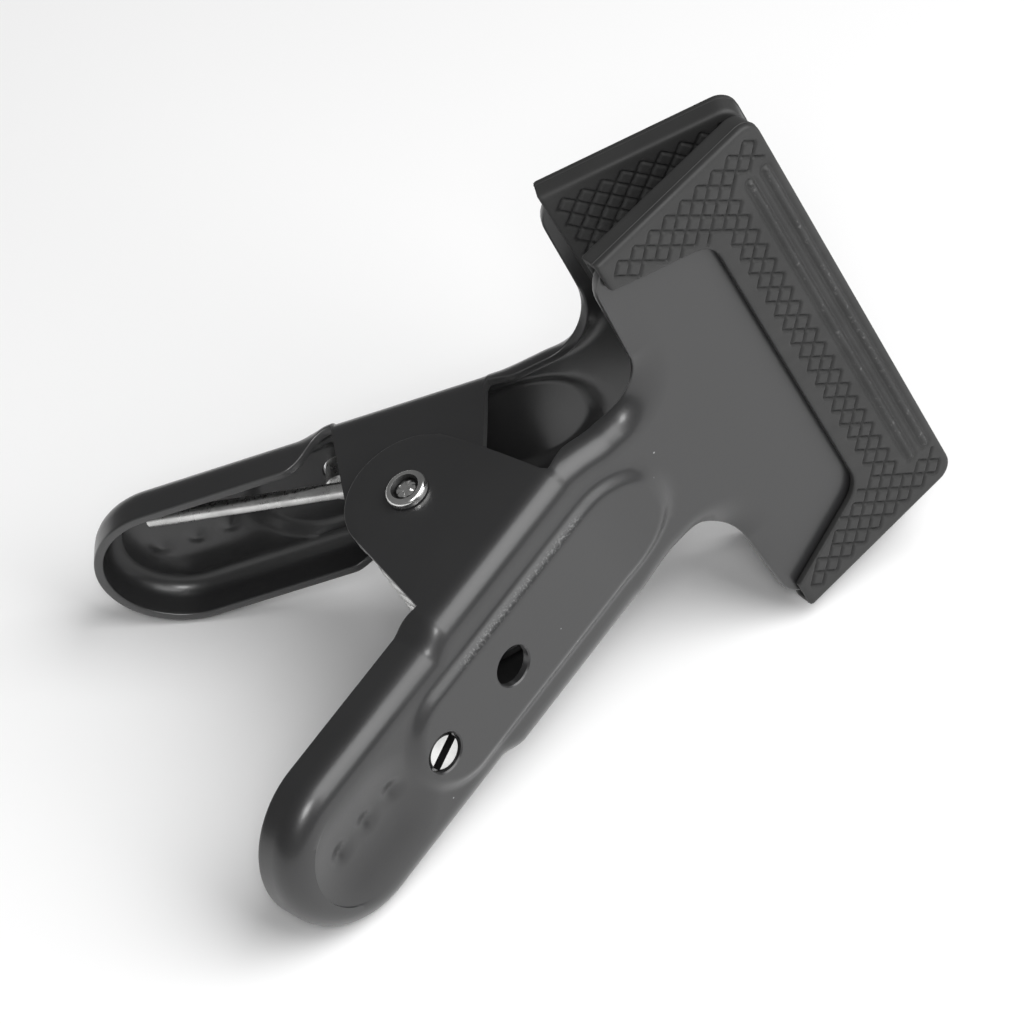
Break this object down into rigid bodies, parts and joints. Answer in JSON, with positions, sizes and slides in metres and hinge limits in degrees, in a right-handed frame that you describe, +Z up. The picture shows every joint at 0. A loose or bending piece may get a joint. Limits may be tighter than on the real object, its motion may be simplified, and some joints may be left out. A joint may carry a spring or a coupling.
{
  "type": "spring clamp",
  "caption": "Sprung clamp with two stamped channel arms on a rivet, squeezed by their handles, and wide rubber-booted jaws for backdrops and tubes.",
  "frame": {"origin": "centre of the base of the bounding box, on the table the clamp lies on", "axes": "+Z up off the table, +Y along the clamp from handles to jaws, +X the way the outer arm's jaw opens"},
  "size_m": [0.087, 0.1306, 0.0938],
  "materials": {
    "arm_paint": "satin black baked paint on pressed steel",
    "boot_rubber": "matt black moulded rubber with diamond tread",
    "plated_rivet": "bright nickel plate",
    "spacer_steel": "plain turned steel",
    "spring_steel": "bright drawn wire",
    "screw_steel": "zinc plated, turned face"
  },
  "bodies": {
    "outer_side": {"outer_arm": "arm_paint", "outer_jaw_boot": "boot_rubber", "pivot_rivet": "plated_rivet", "pivot_spacer_tube": "spacer_steel", "spring_coil": "spring_steel", "outer_slotted_screw": "screw_steel"},
    "inner_side": {"inner_arm": "arm_paint", "inner_jaw_boot": "boot_rubber", "spring_leg": "spring_steel", "inner_slotted_screw": "screw_steel"}
  },
  "joints": [
    {"name": "jaw_opening", "type": "hinge", "parent": "outer_side", "child": "inner_side", "pos_m": [0, -0.01751, 0.02775], "axis": [0, -0.3628, 0.9318], "range_deg": [0, 55], "stiffness_Nm_per_rad": 1.55, "springref_deg": -51.57}
  ]
}
